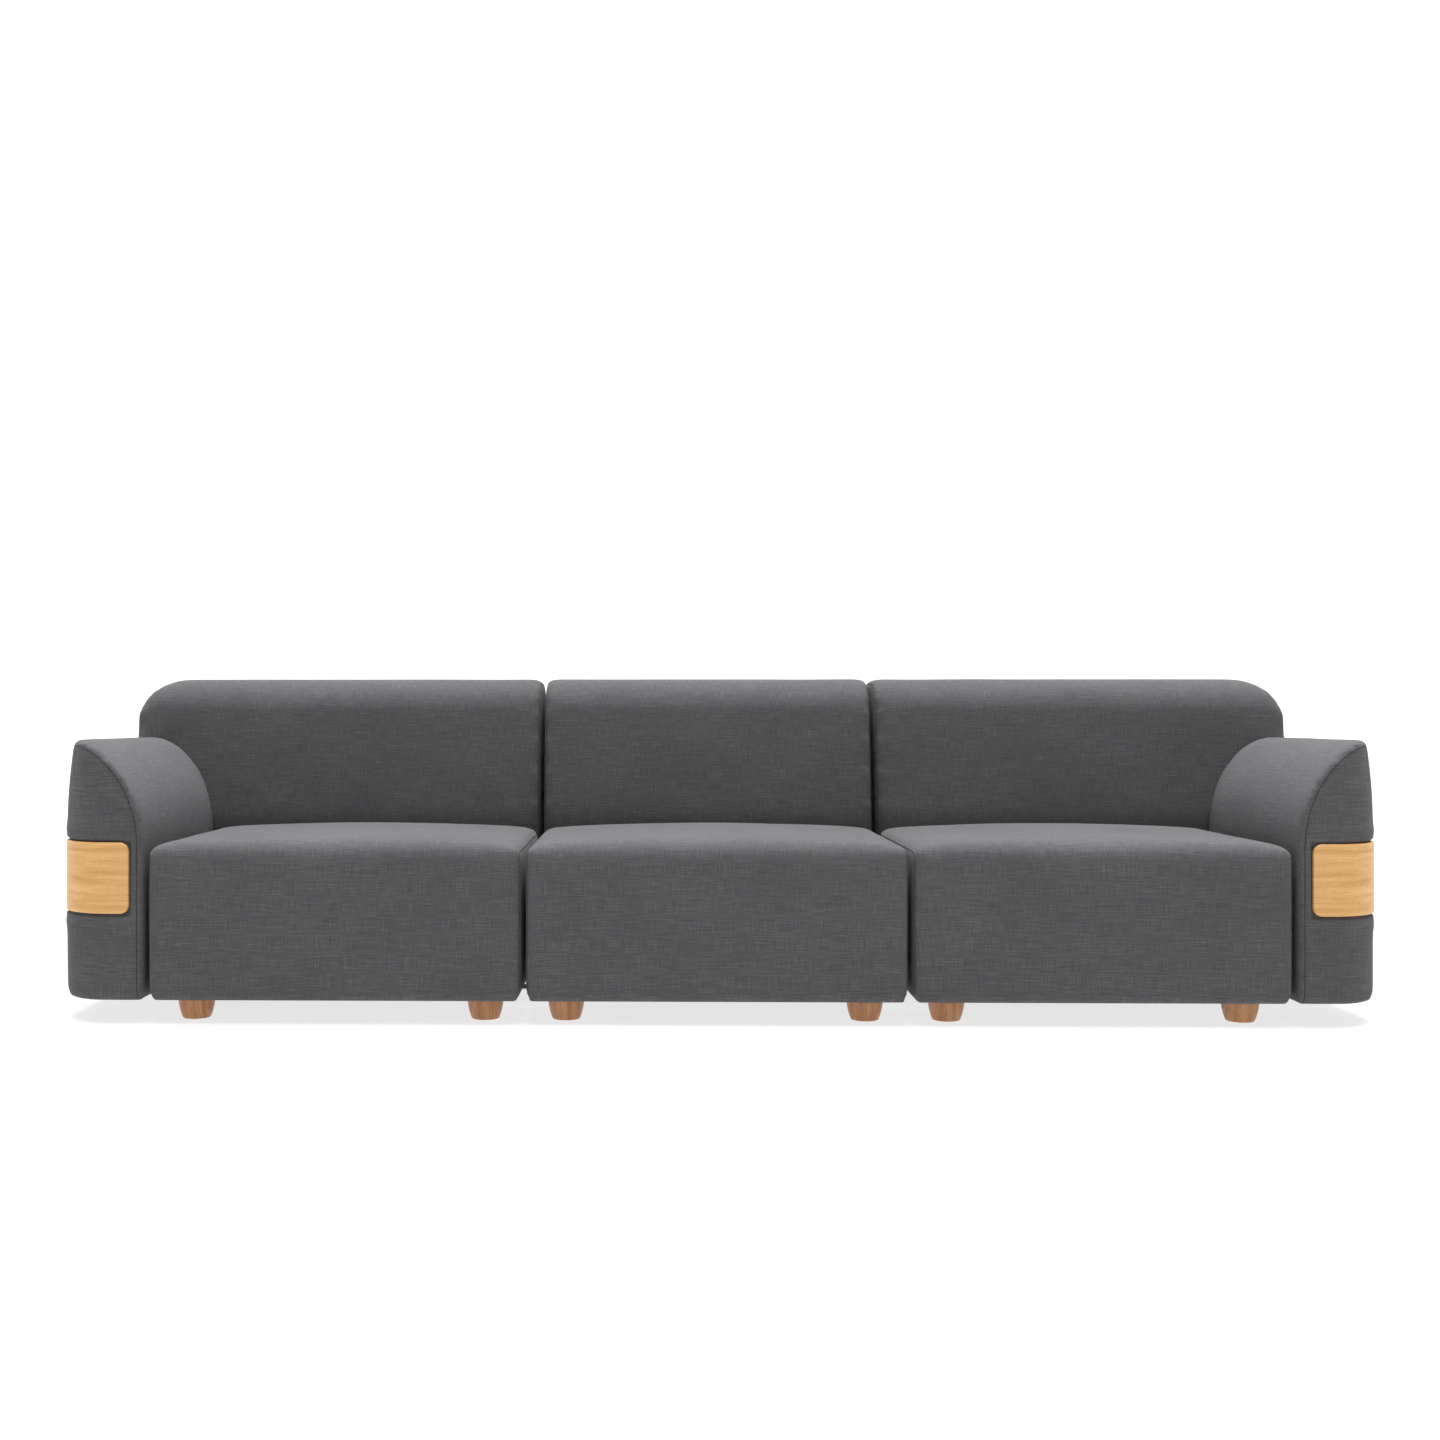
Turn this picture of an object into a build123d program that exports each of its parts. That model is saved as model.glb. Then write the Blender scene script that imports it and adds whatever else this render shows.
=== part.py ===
"""A three-seat modular sofa: three upholstered seat modules, two arms with oak bands, turned oak feet.

Millimetres. +X runs along the sofa to the right, +Y to the rear and +Z up. The origin is on the floor,
under the middle of the sofa's box. The left-hand module and arm are mirror images of the right-hand ones.
"""
import os

from build123d import *

os.makedirs("parts", exist_ok=True)

# ---- driving dimensions: the whole sofa ----
seat_width = 856.0        # the centre module
end_seat_width = 840.0    # the seat of each end module
joint_gap = 9.0           # open joint between two neighbouring blocks, seen as a dark line
arm_width = 210.0
back_overhang = 8.0       # how far an end back block stands out beyond the arm
total_depth = 888.0
total_height = 790.0
underside = 52.0          # height of the upholstery's underside above the floor
seat_depth = 585.0        # front of the seat to its rear, where the back block starts
block_gap = 3.0           # between the seat or the arm and the back block
band_proud = 3.0          # how far the oak band stands out of the fabric

# ---- seat block ----
seat_edge_height = 402.0
seat_crown_height = 417.0
seat_front_radius = 46.0
seat_side_radius = 24.0
seat_corner_radius = 11.0  # upright front corners, beside the open joints
base_radius = 20.0
butt_radius = 8.0         # small radius where one block stands against the next

# ---- back block ----
lean_start_height = 430.0
lean = 62.0               # how far the back's front face leans back from there to the top
back_top_front_radius = 95.0
back_top_rear_radius = 55.0
back_side_radius = 14.0
back_corner_radius = 112.0   # the large corner at each end of the sofa
back_plan_radius = 26.0

# ---- arm block ----
arm_height = 637.0
arm_shoulder_height = 397.0  # the inner side is upright up to here, then it curves over
arm_crest_radius = 26.0      # radius of the outer top edge
arm_front_radius = 40.0
arm_outer_plan_radius = 140.0
arm_inner_plan_radius = 12.0

# ---- oak band ----
band_bottom = 247.0
band_height = 160.0
band_thickness = 18.0
band_end_margin = 31.0       # fabric left beyond each end of the band
band_end_radius = 20.0
band_edge_radius = 3.0

# ---- feet ----
foot_top_diameter = 83.0
foot_bottom_diameter = 62.0
foot_height = 50.2
foot_rim_height = 12.0       # height of the rounded rim at the foot's top
foot_rim_bulge = 6.0
foot_rim_radius = 2.0
foot_waist = 4.2             # how far the foot has drawn in at half its height
foot_sole_radius = 3.0
foot_bore_depth = 30.0
foot_side_offset = 88.0      # foot's axis from the side of its module
foot_front_offset = 92.0     # foot's axis from the front or the rear of the sofa

# ---- upholstery and frames ----
fabric = 2.0                 # thickness of a cover
ease = 0.4                   # room between two layers
rail = 25.0                  # thickness of a frame's rails
rail_height = 110.0
wrap = 28.0                  # foam between a seat's frame and its cover
back_wrap = 40.0
back_side_wrap = 46.0
window_first = 30.0          # openings in a back frame's posts, above its bottom rails
window_height = 160.0
window_pitch = 200.0
top_rail_height = 90.0
arm_frame_thickness = 42.0
arm_frame_front = 104.0      # foam in front of the arm's frame
arm_frame_rear = 32.0
arm_top_wrap = 52.0
arm_post = 30.0
hem = 34.0                   # how far a cover turns under its frame
strap_columns = 6
strap_rows = 4
strap_width = 60.0
strap_thickness = 2.0
dust_thickness = 1.2
dust_inset = 30.0            # from a block's side to the edge of the dust cloth
band_channel = 20.0          # how far the band's channel is cut out beyond the arm's side

# ---- steel connectors ----
plate = 3.0
pin_radius = 5.0
pin_height = 24.0
pin_room = 2.0               # round a pin, in the frame above it
keeper_room = 0.6            # round a pin, in its keeper
keeper_size = (82.0, 50.0)
keeper_inner = 22.0          # from the pin to the keeper's end at the open joint
tongue_length = 150.0
tongue_width = 60.0
tongue_tip = 16.0            # from the pin to the tongue's end
tongue_pad = 45.0            # length of the thick end under the centre module
plate_corner = 6.0

# ---- fasteners ----
bolt_radius = 4.0            # M8
bolt_head_radius = 7.5       # across the corners of the hexagon
bolt_head_height = 5.3
nut_height = 6.5
thread_end = 9.0             # of a back bolt beyond its rail, through the nut
dome_radius = 7.0            # head of an arm bolt
barrel_radius = 6.5          # nut of an arm bolt
flange_radius = 11.0         # of a foot's nut
flange_height = 1.6
foot_nut_height = 8.0
stud_depth = 28.0            # of a stud in its foot
stud_end = 12.0              # of a stud above its corner block
screw_radius = 2.25
screw_head_radius = 4.5
screw_head_height = 2.5
screw_cover = 6.0            # oak left in front of a screw's tip
hole_ease = 0.4              # radial room of a bolt in its hole
thread_room = 0.05           # radial room between two threads
plan_ease = 1.0              # a block's plan is this much larger, so that it only rounds the corners
reach = 4000.0               # longer than the sofa, for cuts that go right through

# ---- positions that follow ----
front = -total_depth / 2 + band_proud
rear = total_depth / 2
seat_rear = front + seat_depth
back_front = seat_rear + block_gap
side_inner = seat_width / 2 + joint_gap          # the end module's side at the open joint
side_outer = side_inner + end_seat_width
end_centre = (side_inner + side_outer) / 2
arm_inner = side_outer + joint_gap
arm_outer = arm_inner + arm_width
back_outer = arm_outer + back_overhang
frame_bottom = underside + fabric + ease
frame_top = frame_bottom + rail_height
bolt_height = frame_bottom + rail_height / 2
foot_rows = {"front": front + foot_front_offset, "rear": rear - foot_front_offset}
back_bolt_spread = (-300, -60, 60, 300)
arm_bolt_rows = [front + 140, front + 320, front + 500]
band_screw_rows = [front + 150, front + 260, front + 370, front + 480]
connector_rows = [front + 250, rear - 170]
arm_frame_x = (arm_outer - wrap - arm_frame_thickness, arm_outer - wrap)
arm_frame_y = (front + arm_frame_front, seat_rear - arm_frame_rear)
arm_frame_top = arm_height - arm_top_wrap
dust_top = underside - 0.3
dust_bottom = dust_top - dust_thickness
keeper_top = dust_bottom - 0.2
keeper_bottom = keeper_top - plate
tongue_top = keeper_bottom - 1.0


def half_width(centre):
    """Half the width of the seat block whose middle is at centre: the centre module's or an end module's."""
    return (end_seat_width if centre else seat_width) / 2


def save(piece, name):
    """Label one piece and write it to its own STEP file."""
    piece.label = name
    export_step(piece, f"parts/{name}.step")


# ---- outlines: each draws one view of a block inside the sketch that is open ----
def seat_front_view(centre):
    low, high = centre - half_width(centre), centre + half_width(centre)
    with BuildLine() as outline:
        base = Line((low, underside), (high, underside))
        side = Line(base @ 1, (high, seat_edge_height))
        crown = ThreePointArc(side @ 1, (centre, seat_crown_height), (low, seat_edge_height))
        Line(crown @ 1, base @ 0)
    make_face(outline.edges())
    fillet(vertices().group_by(Axis.Y)[0], base_radius)
    fillet(vertices().group_by(Axis.Y)[-1], seat_side_radius)


def seat_side_view():
    with BuildLine() as outline:
        Polyline(
            (front, underside),
            (seat_rear, underside),
            (seat_rear, seat_crown_height),
            (front + seat_front_radius, seat_crown_height),
            (front, seat_edge_height),
            close=True,
        )
    make_face(outline.edges())
    rows = vertices().group_by(Axis.Y)
    fillet(rows[1], seat_front_radius)
    fillet(rows[0], base_radius)


def seat_plan_view(centre):
    with Locations((centre, (front + seat_rear) / 2)):
        Rectangle(2 * half_width(centre) + plan_ease, seat_depth + plan_ease)
    rows = vertices().group_by(Axis.Y)
    fillet(rows[0], seat_corner_radius)
    fillet(rows[-1], butt_radius)


def back_front_view(low, high, corner, inset):
    with Locations(((low + high) / 2, (underside + total_height) / 2)):
        Rectangle(high - low - 2 * inset, total_height - underside - 2 * inset)
    fillet(vertices().group_by(Axis.Y)[0], base_radius - inset)
    top = vertices().group_by(Axis.Y)[-1].sort_by(Axis.X)
    fillet(top[1], corner - inset)
    top = vertices().group_by(Axis.Y)[-1].sort_by(Axis.X)
    fillet(top[0], back_side_radius - inset)


def back_side_view():
    with BuildLine() as outline:
        Polyline(
            (back_front, underside),
            (rear, underside),
            (rear, total_height),
            (back_front + lean, total_height),
            (back_front, lean_start_height),
            close=True,
        )
    make_face(outline.edges())
    fillet(vertices().group_by(Axis.Y)[0], base_radius)
    top = vertices().group_by(Axis.Y)[-1].sort_by(Axis.X)
    fillet(top[0], back_top_front_radius)
    top = vertices().group_by(Axis.Y)[-1].sort_by(Axis.X)
    fillet(top[-1], back_top_rear_radius)


def back_plan_view(low, high, inset):
    grow = plan_ease - 2 * inset
    with Locations(((low + high) / 2, (back_front + rear) / 2)):
        Rectangle(high - low + grow, rear - back_front + grow)
    fillet(vertices(), back_plan_radius - inset)


def arm_front_view(inset):
    low, high = arm_inner + inset, arm_outer - inset
    bottom, top = underside + inset, arm_height - inset
    crest_radius = arm_crest_radius - inset
    crest_x = high - crest_radius
    with BuildLine() as outline:
        base = Line((low, bottom), (high, bottom))
        Line(base @ 1, (high, top - crest_radius))
        Line(base @ 0, (low, arm_shoulder_height))
        EllipticalCenterArc(
            (crest_x, arm_shoulder_height),
            crest_x - low,
            top - arm_shoulder_height,
            start_angle=90,
            arc_size=90,
        )
        CenterArc((crest_x, top - crest_radius), crest_radius, 0, 90)
    make_face(outline.edges())
    fillet(vertices().group_by(Axis.Y)[0], base_radius - inset)


def arm_side_view():
    lean_rate = lean / (total_height - lean_start_height)
    with BuildLine() as outline:
        Polyline(
            (front, underside),
            (seat_rear, underside),
            (seat_rear, lean_start_height),
            (seat_rear + lean_rate * (arm_height - lean_start_height), arm_height),
            (front, arm_height),
            close=True,
        )
    make_face(outline.edges())
    fillet(vertices().group_by(Axis.Y)[0], base_radius)
    fillet(vertices().group_by(Axis.Y)[-1].sort_by(Axis.X)[0], arm_front_radius)


def arm_plan_view():
    """The arm from above; it runs on to the rear, where its side view ends it."""
    run_on = lean
    with Locations(((arm_inner + arm_outer) / 2, (front + seat_rear + run_on) / 2)):
        Rectangle(arm_width + plan_ease, seat_depth + run_on + plan_ease)
    corner = vertices().group_by(Axis.Y)[0].sort_by(Axis.X)
    fillet(corner[1], arm_outer_plan_radius)
    corner = vertices().group_by(Axis.Y)[0].sort_by(Axis.X)
    fillet(corner[0], arm_inner_plan_radius)


# ---- blocks: the solid that three views share, drawn in by an inset ----
def seat_block(centre, inset=0.0):
    with BuildPart() as block:
        with BuildSketch(Plane.XZ.offset(-reach / 2)):
            seat_front_view(centre)
            if inset:
                offset(amount=-inset)
        extrude(amount=reach)
        with BuildSketch(Plane.YZ.offset(-reach / 2)):
            seat_side_view()
            if inset:
                offset(amount=-inset)
        extrude(amount=reach, mode=Mode.INTERSECT)
        with BuildSketch(Plane.XY):
            seat_plan_view(centre)
            if inset:
                offset(amount=-inset)
        extrude(amount=reach, mode=Mode.INTERSECT)
    return block.part


def back_block(low, high, corner, inset=0.0):
    with BuildPart() as block:
        with BuildSketch(Plane.XZ.offset(-reach / 2)):
            back_front_view(low, high, corner, inset)
        extrude(amount=reach)
        with BuildSketch(Plane.YZ.offset(-reach / 2)):
            back_side_view()
            if inset:
                offset(amount=-inset)
        extrude(amount=reach, mode=Mode.INTERSECT)
        with BuildSketch(Plane.XY):
            back_plan_view(low, high, inset)
        extrude(amount=reach, mode=Mode.INTERSECT)
    return block.part


def arm_block(inset=0.0):
    with BuildPart() as block:
        with BuildSketch(Plane.XZ.offset(-reach / 2)):
            arm_front_view(inset)
        extrude(amount=reach)
        with BuildSketch(Plane.YZ.offset(-reach / 2)):
            arm_side_view()
            if inset:
                offset(amount=-inset)
        extrude(amount=reach, mode=Mode.INTERSECT)
        with BuildSketch(Plane.XY):
            arm_plan_view()
            if inset:
                offset(amount=-inset)
        extrude(amount=reach, mode=Mode.INTERSECT)
    return block.part


def cuboid(x_range, y_range, z_range, mode=Mode.ADD):
    """A plain box between two corners, added to the part that is open."""
    spans = (x_range, y_range, z_range)
    middle = [(low + high) / 2 for low, high in spans]
    size = [high - low for low, high in spans]
    with Locations(tuple(middle)):
        Box(*size, mode=mode)


def rods(places, direction, radius, length, mode=Mode.SUBTRACT):
    """Round rods of one length, each starting at a place and running along a direction."""
    for place in places:
        with BuildSketch(Plane(origin=place, z_dir=direction)) as section:
            Circle(radius)
        extrude(section.sketch, amount=length, mode=mode)


# ---- where the fasteners run ----
def arm_bolt_places(x):
    return [(x, y, bolt_height) for y in arm_bolt_rows]


def back_bolt_places(centre):
    return [(centre + x, seat_rear - wrap - rail - 1, bolt_height) for x in back_bolt_spread]


def band_screw_places(x):
    return [(x, y, band_bottom + band_height / 2) for y in band_screw_rows]


def feet_places(centre, row):
    foot_reach = half_width(centre) - foot_side_offset
    return [(centre + side * foot_reach, foot_rows[row]) for side in (-1, 1)]


# ---- seat module: frame, webbing, foam and cover ----
seat_frame_y = (front + wrap, seat_rear - wrap)
back_frame_y = (back_front + back_wrap, rear - wrap)


def make_seat_frame(centre):
    half = half_width(centre) - wrap
    block = 2 * (foot_side_offset - wrap)
    with BuildPart() as seat_frame:
        cuboid((centre - half, centre + half), seat_frame_y, (frame_bottom, frame_top))
        inner_y = (seat_frame_y[0] + rail, seat_frame_y[1] - rail)
        inner_x = (centre - half + rail, centre + half - rail)
        cuboid(inner_x, inner_y, (frame_bottom, frame_top), Mode.SUBTRACT)
        for side in (-1, 1):
            middle = centre + side * half / 3
            cuboid((middle - rail / 2, middle + rail / 2), inner_y, (frame_bottom, frame_top))
        for side in (-1, 1):
            ends = sorted((centre + side * half, centre + side * (half - block)))
            block_y = (seat_frame_y[0], seat_frame_y[0] + block)
            cuboid(ends, block_y, (frame_bottom, frame_bottom + rail))
        stud_holes = [(x, y, 0) for x, y in feet_places(centre, "front")]
        rods(stud_holes, (0, 0, 1), bolt_radius + hole_ease, frame_top)
        rods(back_bolt_places(centre), (0, 1, 0), bolt_radius + hole_ease, rail + wrap)
        if centre:
            rods(arm_bolt_places(side_outer), (-1, 0, 0), bolt_radius + hole_ease, wrap + rail + 1)
            rods(connector_places("front"), (0, 0, 1), pin_radius + pin_room, frame_bottom + rail)
    return seat_frame.part


def make_seat_webbing(centre):
    half = half_width(centre) - wrap
    first = frame_top + ease
    with BuildPart() as seat_webbing:
        column_pitch = 2 * half / strap_columns
        for index in range(strap_columns):
            x = centre - half + (index + 0.5) * column_pitch
            column = (x - strap_width / 2, x + strap_width / 2)
            cuboid(column, seat_frame_y, (first, first + strap_thickness))
        second = first + strap_thickness + ease
        row_pitch = (seat_frame_y[1] - seat_frame_y[0]) / strap_rows
        for index in range(strap_rows):
            y = seat_frame_y[0] + (index + 0.5) * row_pitch
            row = (y - strap_width / 2, y + strap_width / 2)
            cuboid((centre - half, centre + half), row, (second, second + strap_thickness))
    return seat_webbing.part


def make_seat_foam(centre):
    half = half_width(centre) - wrap + ease
    bay_top = frame_top + 3 * ease + 2 * strap_thickness
    bay_y = (seat_frame_y[0] - ease, seat_frame_y[1] + ease)
    filling = seat_block(centre, fabric + ease)
    with BuildPart() as seat_foam:
        add(filling)
        cuboid((centre - half, centre + half), bay_y, (0, bay_top), Mode.SUBTRACT)
        rods(back_bolt_places(centre), (0, 1, 0), bolt_radius + hole_ease, reach)
        if centre:
            rods(arm_bolt_places(side_outer), (-1, 0, 0), bolt_radius + hole_ease, wrap + rail)
    return seat_foam.part


def make_seat_cover(centre):
    half = half_width(centre) - hem
    outside, inside = seat_block(centre), seat_block(centre, fabric)
    with BuildPart() as seat_cover:
        add(outside)
        add(inside, mode=Mode.SUBTRACT)
        cuboid((centre - half, centre + half), (front + hem, seat_rear - hem), (0, frame_bottom), Mode.SUBTRACT)
        rods(back_bolt_places(centre), (0, 1, 0), bolt_radius + hole_ease, reach)
        if centre:
            rods(arm_bolt_places(side_outer + 1), (-1, 0, 0), bolt_radius + hole_ease, wrap)
    return seat_cover.part


# ---- back block: frame, foam and cover ----
def back_frame_outline(inset):
    """The side view of the back's frame: it stands inside the foam and follows its lean."""
    with BuildLine() as outline:
        Polyline(
            (back_frame_y[0] - inset, frame_bottom),
            (back_frame_y[1] + inset, frame_bottom),
            (back_frame_y[1] + inset, total_height - back_wrap + inset),
            (back_frame_y[0] + lean - inset, total_height - back_wrap + inset),
            (back_frame_y[0] - inset, lean_start_height),
            close=True,
        )
    make_face(outline.edges())


def make_back_frame(low, high, centre):
    posts = 6 if centre else 4
    first, last = low + back_side_wrap, high - back_side_wrap
    step = (last - first - rail) / (posts - 1)
    block = 2 * (foot_side_offset - back_side_wrap)
    with BuildPart() as back_frame:
        for index in range(posts):
            with BuildSketch(Plane.YZ.offset(first + index * step)):
                back_frame_outline(0)
            extrude(amount=rail)
        window_y = (back_frame_y[0] + 2 * rail + lean, back_frame_y[1] - 2 * rail)
        for level in range(3):
            window_bottom = frame_top + window_first + level * window_pitch
            window_z = (window_bottom, window_bottom + window_height)
            cuboid((first, last), window_y, window_z, Mode.SUBTRACT)
        cuboid((first, last), (back_frame_y[0], back_frame_y[0] + rail), (frame_bottom, frame_top))
        cuboid((first, last), (back_frame_y[1] - rail, back_frame_y[1]), (frame_bottom, frame_top))
        top = total_height - back_wrap
        top_rail_z = (top - top_rail_height, top)
        top_rail_y = (back_frame_y[0] + lean, back_frame_y[0] + lean + rail)
        cuboid((first, last), top_rail_y, top_rail_z)
        cuboid((first, last), (back_frame_y[1] - rail, back_frame_y[1]), top_rail_z)
        for x, y in feet_places(centre, "rear"):
            block_y = (y - block / 2, back_frame_y[1])
            cuboid((x - block / 2, x + block / 2), block_y, (frame_bottom, frame_bottom + rail))
        stud_holes = [(x, y, 0) for x, y in feet_places(centre, "rear")]
        rods(stud_holes, (0, 0, 1), bolt_radius + hole_ease, frame_top)
        rods(back_bolt_places(centre), (0, 1, 0), bolt_radius + hole_ease, 2 * rail + wrap + back_wrap + 10)
        if centre:
            rods(connector_places("rear"), (0, 0, 1), pin_radius + pin_room, frame_bottom + rail)
    return back_frame.part


def make_back_foam(low, high, corner, centre):
    first, last = low + back_side_wrap - ease, high - back_side_wrap + ease
    filling = back_block(low, high, corner, fabric + ease)
    with BuildPart() as back_foam:
        add(filling)
        with BuildSketch(Plane.YZ.offset(first)):
            back_frame_outline(ease)
        extrude(amount=last - first, mode=Mode.SUBTRACT)
        bay_y = (back_frame_y[0] - ease, back_frame_y[1] + ease)
        cuboid((first, last), bay_y, (0, frame_top), Mode.SUBTRACT)
        rods(back_bolt_places(centre), (0, 1, 0), bolt_radius + hole_ease, wrap + back_wrap + 2 * rail)
        if centre:
            rods(connector_places("rear"), (0, 0, 1), pin_radius + pin_room, frame_bottom + rail)
    return back_foam.part


def make_back_cover(low, high, corner, centre):
    outside = back_block(low, high, corner)
    inside = back_block(low, high, corner, fabric)
    with BuildPart() as back_cover:
        add(outside)
        add(inside, mode=Mode.SUBTRACT)
        cuboid((low + hem, high - hem), (back_front + hem, rear - hem), (0, frame_bottom), Mode.SUBTRACT)
        rods(back_bolt_places(centre), (0, 1, 0), bolt_radius + hole_ease, wrap + back_wrap + rail)
    return back_cover.part


def make_back_bolts(centre):
    """Four hexagon-headed bolts that hold the back's frame to the seat's, each with its nut."""
    with BuildPart() as back_bolts:
        for x, y, z in back_bolt_places(centre):
            start = seat_frame_y[1] - rail
            end = back_frame_y[0] + rail
            with BuildSketch(Plane(origin=(x, start, z), z_dir=(0, -1, 0))):
                RegularPolygon(bolt_head_radius, 6)
            extrude(amount=bolt_head_height)
            with BuildSketch(Plane(origin=(x, start, z), z_dir=(0, 1, 0))):
                Circle(bolt_radius)
            extrude(amount=end - start + thread_end)
            with BuildSketch(Plane(origin=(x, end, z), z_dir=(0, 1, 0))):
                RegularPolygon(bolt_head_radius, 6)
            extrude(amount=nut_height)
    return back_bolts.part


# ---- feet and what holds them ----
def make_foot(place):
    """A turned foot: full width at the top, a long round below it and a small flat to stand on."""
    top, bottom = foot_top_diameter / 2, foot_bottom_diameter / 2
    neck = foot_height - foot_rim_height
    with BuildPart() as foot:
        with BuildSketch(Plane.XZ):
            with BuildLine():
                axis = Line((0, 0), (0, foot_height))
                rim = Line(axis @ 1, (top - foot_rim_radius, foot_height))
                bulge = (top, foot_height - foot_rim_bulge)
                edge = ThreePointArc(rim @ 1, bulge, (top - 0.3 * foot_rim_radius, neck))
                side = ThreePointArc(edge @ 1, (top - foot_waist, neck / 2), (bottom, 0))
                Line(side @ 1, axis @ 0)
            make_face()
        revolve(axis=Axis.Z)
        fillet(edges().filter_by(GeomType.CIRCLE).sort_by(Axis.Z)[0], foot_sole_radius)
        with Locations((0, 0, foot_height)):
            Hole(bolt_radius + thread_room, depth=foot_bore_depth)
    return foot.part.moved(Location((place[0], place[1], 0)))


def make_foot_studs(places):
    with BuildPart() as studs:
        starts = [(x, y, foot_height - stud_depth) for x, y in places]
        rods(starts, (0, 0, 1), bolt_radius, stud_depth + rail + stud_end, Mode.ADD)
    return studs.part


def make_foot_nuts(places):
    """A flanged nut on top of each corner block, round the end of the foot's stud."""
    level = frame_bottom + rail
    with BuildPart() as nuts:
        seats = [(x, y, level) for x, y in places]
        rods(seats, (0, 0, 1), flange_radius, flange_height, Mode.ADD)
        rods(seats, (0, 0, 1), barrel_radius, foot_nut_height, Mode.ADD)
        rods(seats, (0, 0, 1), bolt_radius + thread_room, foot_nut_height)
    return nuts.part


def make_dust_cover(low, high, centre):
    """Thin black cloth stapled under the module, open round the feet's studs and the connectors."""
    level = (dust_bottom, dust_top)
    with BuildPart() as dust_cover:
        cuboid((low + dust_inset, high - dust_inset), (front + dust_inset, rear - dust_inset), level)
        if centre:
            behind_arm = (back_front + dust_inset, rear - dust_inset)
            cuboid((high - dust_inset, back_outer - dust_inset), behind_arm, level)
        places = feet_places(centre, "front") + feet_places(centre, "rear")
        rods([(x, y, 0) for x, y in places], (0, 0, 1), bolt_head_radius, underside)
        if centre:
            rods(connector_places("front") + connector_places("rear"), (0, 0, 1), pin_radius + pin_room, underside)
    return dust_cover.part


# ---- connectors between the modules ----
def connector_places(row):
    """Where the connector pins stand, under the end module's inner side."""
    y = connector_rows[0] if row == "front" else connector_rows[1]
    return [(side_inner + wrap + rail / 2, y, 0)]


def make_tongues():
    """Steel tongues screwed under the centre module; each ends in an upright pin under its neighbour."""
    with BuildPart() as tongues:
        for side in (-1, 1):
            for x, y, _ in connector_places("front") + connector_places("rear"):
                tip = side * (x + tongue_tip)
                root = side * (x + tongue_tip - tongue_length)
                pad = side * (x + tongue_tip - tongue_length + tongue_pad)
                tongue_y = (y - tongue_width / 2, y + tongue_width / 2)
                cuboid(sorted((tip, root)), tongue_y, (tongue_top - plate, tongue_top))
                cuboid(sorted((root, pad)), tongue_y, (tongue_top, dust_bottom - 0.1))
                foot_of_pin = (side * x, y, tongue_top - plate)
                rods([foot_of_pin], (0, 0, 1), pin_radius, pin_height, Mode.ADD)
        upright = edges().filter_by(Axis.Z)
        fillet(upright.filter_by(lambda edge: abs(edge.length - plate) < 0.01), plate_corner)
    return tongues.part


def make_keepers():
    """Steel plates under the end module, each with the hole that drops over a tongue's pin."""
    with BuildPart() as keepers:
        for x, y, _ in connector_places("front") + connector_places("rear"):
            keeper_x = (x - keeper_inner, x - keeper_inner + keeper_size[0])
            keeper_y = (y - keeper_size[1] / 2, y + keeper_size[1] / 2)
            cuboid(keeper_x, keeper_y, (keeper_bottom, keeper_top))
            rods([(x, y, keeper_bottom)], (0, 0, 1), pin_radius + keeper_room, plate)
        fillet(edges().filter_by(Axis.Z).filter_by(GeomType.LINE), plate_corner)
    return keepers.part


# ---- arm: frame, foam, cover and oak band ----
def band_core(inset):
    with BuildSketch() as core:
        arm_plan_view()
        offset(amount=-inset - plan_ease / 2)
    return core.sketch


def band_ring(grow=0.0):
    """The band's strip round the arm's front corner and along its outer side.

    A grown ring is the channel that the foam and the cover leave for the band.
    """
    core = band_core(band_thickness - band_proud + grow)
    end_x = arm_inner + band_end_margin - grow
    end_y = seat_rear - band_end_margin + grow
    with BuildPart() as ring:
        with BuildSketch(Plane.XY.offset(band_bottom - grow)):
            arm_plan_view()
            offset(amount=(band_channel if grow else band_proud) - plan_ease / 2)
            add(core, mode=Mode.SUBTRACT)
            with Locations((end_x, end_y)):
                Rectangle(reach, reach, align=(Align.MIN, Align.MAX), mode=Mode.INTERSECT)
        extrude(amount=band_height + 2 * grow)
    return ring.part


def make_wood_band():
    """Bent oak, rounded at both ends, with its long edges eased."""
    strip = band_ring()
    with BuildPart() as wood_band:
        add(strip)
        front_end = edges().filter_by(Axis.Y).group_by(Axis.X)[0]
        rear_end = edges().filter_by(Axis.X).group_by(Axis.Y)[-1]
        fillet(front_end + rear_end, band_end_radius)
        fillet(faces().sort_by(Axis.X)[-1].edges(), band_edge_radius)
    return wood_band.part


def make_band_screws():
    start = arm_frame_x[0]
    heads = band_screw_places(start - screw_head_height)
    with BuildPart() as band_screws:
        length = arm_outer - screw_cover - start
        rods(band_screw_places(start), (1, 0, 0), screw_radius, length, Mode.ADD)
        rods(heads, (1, 0, 0), screw_head_radius, screw_head_height, Mode.ADD)
    return band_screws.part


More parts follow.
